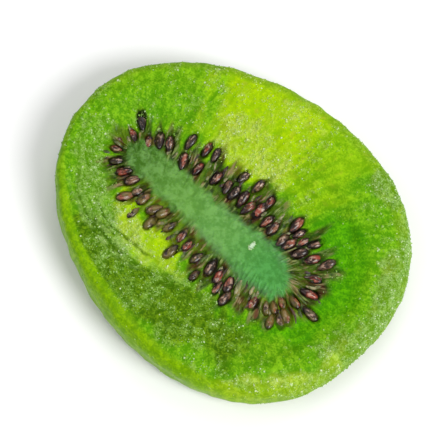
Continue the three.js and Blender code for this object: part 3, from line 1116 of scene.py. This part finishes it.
class Finish:
    """A material, made node by node."""

    def __init__(self, name):
        self.material = bpy.data.materials.new(name)
        self.material.use_nodes = True
        self.tree = self.material.node_tree
        self.tree.nodes.clear()
        self.where = self.node("ShaderNodeTexCoord", output="Object")

    def node(self, kind, settings=None, inputs=None, output=0):
        made = self.tree.nodes.new(kind)
        for name, value in (settings or {}).items():
            setattr(made, name, value)
        for name, value in (inputs or {}).items():
            if isinstance(value, Wire):
                self.tree.links.new(value.socket, made.inputs[name])
            else:
                made.inputs[name].default_value = value
        return Wire(self, made.outputs[output])

    def attribute(self, name, output="Fac"):
        return self.node("ShaderNodeAttribute", {"attribute_name": name}, output=output)

    def grid(self, size, vector):
        """Where a texture lies, for bumps or cells that are a size across: in millimetres of the piece,
        or in the vector's units."""
        if vector is None:
            return {"Vector": self.where, "Scale": 1 / (size * MM)}
        return {"Vector": vector, "Scale": 1 / size}

    def noise(self, size, vector=None, detail=2.0, roughness=0.5, bend=0.0):
        inputs = {"Detail": detail, "Roughness": roughness, "Distortion": bend}
        return self.node("ShaderNodeTexNoise", inputs={**self.grid(size, vector), **inputs})

    def cells(self, size, output="Distance", vector=None, feature="F1"):
        return self.node("ShaderNodeTexVoronoi", {"feature": feature}, self.grid(size, vector), output)

    def stretched(self, name, *scales):
        """A vector that the piece keeps, stretched along each of its three ways."""
        inputs = {0: self.attribute(name, "Vector"), 1: scales}
        return self.node("ShaderNodeVectorMath", {"operation": "MULTIPLY"}, inputs)

    def streaks(self, name, size, stretch, **look):
        """Noise that is drawn out away from the slice's middle or from its core."""
        return self.noise(size, self.stretched(name, 1, 1, stretch), **look)

    def mix(self, factor, low, high, blend="MIX"):
        """A mix of two colours. Each is a wire, three numbers as the studio's light shows the colour, or
        Blender's own four."""
        settings = {"data_type": "RGBA", "blend_type": blend}
        ends = []
        for end in (low, high):
            ends.append(shade(*end) if isinstance(end, tuple) and len(end) == 3 else end)
        return self.node("ShaderNodeMix", settings, {0: factor, 6: ends[0], 7: ends[1]}, output=2)

    def bump(self, height, distance, normal=None):
        inputs = {"Height": height, "Distance": distance * MM, "Strength": 1.0}
        if normal is not None:
            inputs["Normal"] = normal
        return self.node("ShaderNodeBump", inputs=inputs)

    def surface(self, **inputs):
        """The shader itself, with its sockets named in words joined by underscores."""
        named = {name.replace("_", " "): value for name, value in inputs.items()}
        shader = self.node("ShaderNodeBsdfPrincipled", inputs=named)
        shown = self.tree.nodes.new("ShaderNodeOutputMaterial")
        self.tree.links.new(shader.socket, shown.inputs["Surface"])
        return self.material


# The colours of the flesh: for each field the darker and the lighter end of its grain
PLAIN = ((90, 156, 0), (140, 199, 34))
FIELDS = {
    # The dull field's colours are painted shade; the deep field's are clear flesh, and painted shade in its
    # valleys
    "dull": ((68, 110, 0), (120, 161, 27)),
    "deep": ((70, 149, 0), (106, 188, 0)),
    "rim": ((118, 151, 26), (162, 192, 78)),
    "glow": ((160, 204, 0), (187, 226, 14)),
}
FROSTED = ((94, 144, 20), (158, 200, 98))
FROSTED_GLOW = ((166, 198, 30), (212, 236, 98))
WALL = ((112, 158, 6), (152, 194, 50))
# The clear wall's colours are its own lime, made brighter in part as a painted glow of light through its
# thin edge
CLEAR_WALL = ((112, 164, 0), (150, 198, 0))
CLEAR_GLOW = ((146, 178, 6), (190, 214, 50))
# What lies over the yellow flesh, and how much the darker rays keep of each primary
GREEN_MOTTLE = (122, 186, 22)
CARAMEL = (206, 186, 66)
CREAM_FIBRE = (210, 226, 104)
RAY_SHADE = (0.66, 0.8, 0.5, 1)
# The core from its thin end: at each share of its line the darker and the lighter end of its haze
CORE = (
    (0.0, (68, 112, 34), (108, 154, 78)),
    (0.35, (96, 148, 61), (118, 170, 83)),
    (0.6, (96, 153, 71), (120, 175, 91)),
    (0.95, (74, 142, 64), (91, 166, 83)),
)


def fine_grain(finish, frost):
    """The grain of the candied flesh from 0, dark, to 1, light: cloudy, with rays where it is clear, a
    worm-like net and lines along the rim where it is frosted, and scattered light specks."""
    along_rim = finish.stretched("round_oval", 0.2, 0.2, 1)
    cloudy = finish.noise(0.4, roughness=0.6, bend=0.6)
    grit = finish.noise(0.2, detail=1.0)
    broad = finish.noise(1.9)
    net = (1 - abs(finish.noise(0.8, detail=1.0, bend=0.8) - 0.5) * 9).ramp(0.0, 1.0)
    lines = finish.noise(0.42, along_rim)
    rays = finish.streaks("round_oval", 0.5, 0.14)
    level = cloudy * 0.42 + grit * 0.3 + broad * 0.16 + finish.attribute("grain") * 0.12
    level = level + (net * 0.08 + lines * 0.3 - 0.18) * frost + (rays - 0.5) * 0.3 * (1 - frost)
    chosen = finish.cells(0.44, "Color").ramp(0.5, 0.6)
    specks = (1 - finish.cells(0.44).ramp(0.14, 0.34)) * chosen
    return level.ramp(0.33, 0.6) + specks * (0.3 + frost * 0.4)


def flesh_colour(finish, grain, frost, glow):
    """The fields of flesh, each mixed over those before it, between its own two ends of the grain."""
    wall, clear_wall = finish.attribute("wall"), finish.attribute("clear_wall")
    mottle = finish.noise(2.2, detail=3.0, roughness=0.6)
    rays = finish.streaks("round_oval", 0.8, 0.16, detail=3.0)
    uneven = (mottle - 0.5) * 0.8 + (rays - 0.5) * 0.8
    layers = []
    for name, colours in FIELDS.items():
        mask = finish.attribute(name)
        layers.append(((mask + uneven * mask).ramp(0.0, 1.0), colours))
    layers.append((wall * 0.7, WALL))
    for mask, plain, warm in (
        (frost.ramp(0.2, 1.0) * 0.85, FROSTED, FROSTED_GLOW),
        (clear_wall, CLEAR_WALL, CLEAR_GLOW),
    ):
        layers.append((mask, [finish.mix(glow, *pair) for pair in zip(plain, warm)]))
    ends = PLAIN
    for mask, colours in layers:
        ends = [finish.mix(mask, end, colour) for end, colour in zip(ends, colours)]
    colour = finish.mix(grain, *ends)
    greener = mottle.ramp(0.52, 0.7) * glow * (1 - frost * 0.7) * 0.6
    colour = finish.mix(greener, colour, GREEN_MOTTLE)
    caramel = finish.noise(1.1, detail=1.0).ramp(0.6, 0.72) * glow * (1 - frost) * 0.3
    colour = finish.mix(caramel, colour, CARAMEL)
    fibres = finish.streaks("round_oval", 0.6, 0.2).ramp(0.5, 0.66)
    fibres = fibres * glow * frost.ramp(0.4, 0.8) * (1 - wall)
    colour = finish.mix(fibres * 0.6, colour, CREAM_FIBRE)
    darker = (1 - rays).ramp(0.5, 0.72) * 0.3 * (1 - wall) * (1 - glow * 0.5)
    return finish.mix(darker, colour, RAY_SHADE, "MULTIPLY")


def creased(finish, colour, grain):
    """Each crease has a thin dark line of painted shade, with pale banks on both sides that are partly sugar
    caught there and partly painted highlight.
    """
    broken = finish.noise(1.1)
    bank = finish.attribute("bank") * (grain * 0.6 + 0.3) * broken.ramp(0.36, 0.56) * 0.75
    crease = finish.attribute("crease").ramp(0.2, 1.0) * (1 - broken.ramp(0.5, 0.7) * 0.6) * 0.8
    return finish.mix(crease, finish.mix(bank, colour, (180, 212, 122)), (66, 108, 14))


def ring_colour(finish, colour, threads):
    """The jelly round the seeds: deeper seeds show in it, pale walls run out through it, and painted shadow
    darkens it at the seeds' sides."""
    ring, thread, gap, out, share, haze = (
        finish.attribute(name) for name in ("ring", "thread", "gap", "out", "core_share", "haze")
    )
    buried = finish.streaks("round_core", 0.9, 0.35, detail=3.0, roughness=0.6)
    warm = finish.noise(2.6, detail=1.0).ramp(0.42, 0.6)
    light = finish.mix(share.ramp(0.3, 0.8), (70, 90, 16), (58, 62, 20))
    jelly = finish.mix(buried.ramp(0.36, 0.56), light, (28, 30, 10))
    jelly = finish.mix(warm * buried.ramp(0.4, 0.55) * 0.75, jelly, (76, 40, 24))
    olive = finish.mix(buried.ramp(0.42, 0.6), (122, 150, 24), (106, 82, 28))
    jelly = finish.mix(haze * 0.85, jelly, olive)
    # Each cell is a deeper seed, and its own colour, as a number, tells its kind
    deeper = finish.stretched("round_core", 1, 1, 0.46)
    middle, kind = finish.cells(1.15, vector=deeper), finish.cells(1.15, "Color", deeper)
    edge_of_seed = (1 - middle.ramp(0.36, 0.56)) * kind.ramp(0.36, 0.4) * 0.9
    jelly = finish.mix(edge_of_seed, jelly, (20, 18, 8))
    seed = finish.mix(kind.ramp(0.48, 0.6), (66, 36, 24), (112, 74, 52))
    jelly = finish.mix((1 - middle.ramp(0.24, 0.38)) * kind.ramp(0.38, 0.42) * 0.85, jelly, seed)
    colour = finish.mix(ring * (0.75 + buried.ramp(0.4, 0.7) * 0.25), colour, jelly)
    edge = finish.cells(1.5, vector=deeper, feature="DISTANCE_TO_EDGE")
    walls = (1 - edge.ramp(0.02, 0.13)) * threads.ramp(0.46, 0.6) + thread * threads.ramp(0.45, 0.62)
    pale = finish.mix(warm, (132, 150, 84), (158, 138, 100))
    colour = finish.mix(ring * walls * gap.ramp(1.0, 1.25) * 0.75, colour, pale)
    # Painted shadow of the seeds on the jelly beside them
    painted_seed_shadow = (1 - gap.ramp(0.8, 1.34)) * out.ramp(-0.4, 0.3) * (0.25 + buried.ramp(0.38, 0.56) * 0.7)
    return finish.mix(painted_seed_shadow * (1 - haze * 0.5), colour, (22, 18, 8))


def core_colour(finish, threads):
    """The core along its line from the thin end, hazy and mottled, with pale rays beside its edge."""
    share, out = finish.attribute("core_share"), finish.attribute("out")
    (start, *ends), *stops = CORE
    for stop, *colours in stops:
        along = share.ramp(start, stop)
        ends = [finish.mix(along, end, colour) for end, colour in zip(ends, colours)]
        start = stop
    haze = finish.noise(1.3, detail=3.0, roughness=0.65) * 0.7 + finish.noise(0.4) * 0.3
    colour = finish.mix(haze.ramp(0.4, 0.6), *ends)
    dim = finish.noise(0.9, detail=1.0).ramp(0.35, 0.7) * out.ramp(-1.5, -0.1) * share.ramp(0.4, 0.7)
    colour = finish.mix(dim * 0.8, colour, (88, 120, 84))
    rays = threads.ramp(0.5, 0.7) * out.ramp(-1.6, -0.3) * share.ramp(0.4, 0.9)
    return finish.mix(rays * 0.25, colour, (140, 178, 124))


def candied_flesh():
    finish = Finish("candied_flesh")
    frost, glow, clear_wall = (finish.attribute(name) for name in ("frost", "glow", "clear_wall"))
    ring, out = finish.attribute("ring"), finish.attribute("out")
    threads = finish.streaks("round_core", 0.34, 0.16, detail=3.0, roughness=0.65)
    grain = fine_grain(finish, frost)
    colour = creased(finish, flesh_colour(finish, grain, frost, glow), grain)
    colour = ring_colour(finish, colour, threads)
    feather = finish.streaks("round_core", 1.5, 0.7)
    core = 1 - (out + (feather - 0.5) * 2.4 + (threads - 0.5) * 0.3).ramp(-0.7, 0.4)
    colour = finish.mix(core, colour, core_colour(finish, threads))
    bumps = finish.bump(grain * (0.3 + frost * 0.5) * (1 - core * 0.7) * (1 - clear_wall * 0.8), 0.12)
    return finish.surface(
        Base_Color=colour,
        Roughness=0.5 + frost * 0.2 - clear_wall * 0.18,
        Normal=bumps,
        Subsurface_Weight=0.3,
        Subsurface_Radius=(0.7, 1.0, 0.15),
        Subsurface_Scale=1.0 * MM,
        Specular_IOR_Level=0.045,
        Coat_Weight=clear_wall * 0.02 + ring * 0.12,
        Coat_Roughness=0.18,
    )


def seed_coat():
    """Dark, with a warm streaky back on its top and darker sides, in part painted shade, a few painted pale
    glints, and a film of jelly over some.
    """
    finish = Finish("kiwi_seed")
    tone, crest = finish.attribute("tone"), finish.attribute("crest")
    streaks = finish.noise(0.5, finish.stretched("along", 0.4, 1, 1), detail=3.0, roughness=0.65)
    specks = finish.noise(0.3, finish.stretched("along", 0.7, 1, 1), detail=1.0)
    dark = finish.mix(tone, (24, 14, 14), (40, 20, 14))
    red = finish.mix(streaks.ramp(0.4, 0.6), (92, 34, 24), (154, 70, 52))
    brown = finish.mix(streaks.ramp(0.4, 0.6), (72, 46, 32), (148, 108, 80))
    # Each seed is warm on top and dark at its sides: partly its own colour, partly painted shade
    back = (crest + (streaks - 0.5) * 2.8).ramp(0.45, 1.1)
    warmth = 0.12 + tone.ramp(0.05, 0.65) * 0.88
    colour = finish.mix(back * warmth, dark, finish.mix(tone.ramp(0.35, 0.75), brown, red))
    # Painted highlights: pale glints near the top of each seed
    painted_glints = specks.ramp(0.54, 0.62) * crest.ramp(0.5, 0.9) * 0.65
    colour = finish.mix(painted_glints, colour, (206, 172, 152))
    film = finish.attribute("film") + (finish.noise(0.7, bend=0.5) - 0.5) * 2.2
    colour = finish.mix(film.ramp(0.15, 0.8) * 0.75, colour, (112, 102, 40))
    return finish.surface(
        Base_Color=colour,
        Roughness=0.32 + streaks * 0.2,
        Normal=finish.bump(streaks + finish.cells(0.16) * 0.5, 0.05),
        Specular_IOR_Level=0.25,
        Coat_Weight=0.4,
        Coat_Roughness=0.1,
    )


# The strands are dark, green or pale, each between the two ends of its mottling
STRAND_COLOURS = (
    ((34, 24, 14), (84, 54, 38)),
    ((52, 72, 16), (100, 122, 44)),
    ((96, 102, 52), (164, 158, 116)),
)


def strand_skin():
    finish = Finish("flesh_strand")
    tone = finish.attribute("tone")
    mottle = finish.noise(0.6)
    dark, green, pale = (finish.mix(mottle.ramp(0.35, 0.65), *ends) for ends in STRAND_COLOURS)
    return finish.surface(
        Base_Color=finish.mix(tone.ramp(0.6, 0.7), finish.mix(tone.ramp(0.3, 0.4), dark, green), pale),
        Roughness=0.4 + mottle * 0.1,
        Subsurface_Weight=0.3,
        Subsurface_Scale=0.4 * MM,
        Coat_Weight=0.2,
    )


def sugar_crystal():
    """Each grain is near the colour of the flesh under it, and only a few are bright."""
    finish = Finish("sugar_crystal")
    tone, glow = finish.attribute("tone"), finish.attribute("glow")
    green = finish.mix(tone.ramp(0.0, 0.75), (118, 170, 44), (158, 202, 96))
    yellow = finish.mix(tone.ramp(0.0, 0.75), (168, 206, 48), (200, 226, 110))
    colour = finish.mix(glow, green, yellow)
    colour = finish.mix(tone.ramp(0.84, 1.0), colour, (222, 238, 192))
    # The clump's grains are white sugar, and in part a painted highlight
    colour = finish.mix(finish.attribute("white_and_painted_glint"), colour, (206, 232, 196))
    return finish.surface(Base_Color=colour, Roughness=0.2 + tone * 0.15, Specular_IOR_Level=0.5)


# The pieces, each with its finish and its slot

def finished(piece, material):
    piece.data.materials.append(material)
    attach(piece, "root")
    return piece


flesh_piece = finished(make_flesh(), candied_flesh())
bpy.context.view_layer.update()
flesh_tree = BVHTree.FromPolygons(
    [vertex.co.copy() for vertex in flesh_piece.data.vertices],
    [tuple(polygon.vertices) for polygon in flesh_piece.data.polygons],
)
seeds_piece = finished(make_seeds(), seed_coat())
finished(make_strands(flesh_tree), strand_skin())
finished(make_sugar(), sugar_crystal())
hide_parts("kiwi_slice")
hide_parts("kiwi_slice")


# The stage: a pale floor, soft light and the camera

FLOOR = {"size": 3.0, "cloud": 60, "low": (0.86, 0.86, 0.86, 1), "high": (0.88, 0.88, 0.88, 1)}
ROOM_LIGHT = 0.43
# The camera, with the width of the view where the slice lies, in metres
CAMERA = {"azimuth": 41, "elevation": 70, "lens": 200, "sensor": 36, "width": 0.0535, "nearest": 0.01}
# Each light: azimuth, elevation, distance, size, power in watts
LIGHTS = {
    "key": (92, 44, 0.6, 0.3, 3.2),
    "fill": (-40, 50, 0.7, 0.6, 1.2),
    "back": (200, 50, 0.7, 0.5, 1.2),
}


def direction(azimuth, elevation):
    """The way from the slice to something seen at an azimuth and an elevation in degrees."""
    a, e = math.radians(azimuth), math.radians(elevation)
    return Vector((math.sin(a) * math.cos(e), -math.cos(a) * math.cos(e), math.sin(e)))


def aim(thing, back, middle, distance):
    thing.location = middle + back * distance
    thing.rotation_mode = "QUATERNION"
    thing.rotation_quaternion = (-back).to_track_quat("-Z", "Y")
    bpy.context.scene.collection.objects.link(thing)


def make_floor():
    mesh = bpy.data.meshes.new("floor")
    half = FLOOR["size"] / 2
    corners = [(-half, -half, 0), (half, -half, 0), (half, half, 0), (-half, half, 0)]
    mesh.from_pydata(corners, [], [(0, 1, 2, 3)])
    floor = bpy.data.objects.new("floor", mesh)
    bpy.context.scene.collection.objects.link(floor)
    finish = Finish("floor")
    colour = finish.mix(finish.noise(FLOOR["cloud"]).ramp(0.3, 0.7), FLOOR["low"], FLOOR["high"])
    floor.data.materials.append(finish.surface(Base_Color=colour, Roughness=0.7, Specular_IOR_Level=0.1))


def make_camera(middle):
    camera = bpy.data.cameras.new("camera")
    camera.lens = CAMERA["lens"]
    camera.sensor_width = CAMERA["sensor"]
    camera.clip_start = CAMERA["nearest"]
    distance = CAMERA["width"] * CAMERA["lens"] / CAMERA["sensor"]
    thing = bpy.data.objects.new("camera", camera)
    aim(thing, direction(CAMERA["azimuth"], CAMERA["elevation"]), middle, distance)
    bpy.context.scene.camera = thing


def make_lights(middle):
    for name, (azimuth, elevation, distance, size, power) in LIGHTS.items():
        light = bpy.data.lights.new(name, "AREA")
        light.shape = "DISK"
        light.size = size
        light.energy = power
        aim(bpy.data.objects.new(name, light), direction(azimuth, elevation), middle, distance)


def make_world():
    world = bpy.data.worlds.new("studio")
    world.use_nodes = True
    background = world.node_tree.nodes["Background"].inputs
    background["Color"].default_value = (1, 1, 1, 1)
    background["Strength"].default_value = ROOM_LIGHT
    bpy.context.scene.world = world
    bpy.context.scene.view_settings.view_transform = "Standard"


slice_middle = (CAD_BOX[0] + CAD_BOX[1]) / 2
make_floor()
make_camera(slice_middle)
make_lights(slice_middle)
make_world()
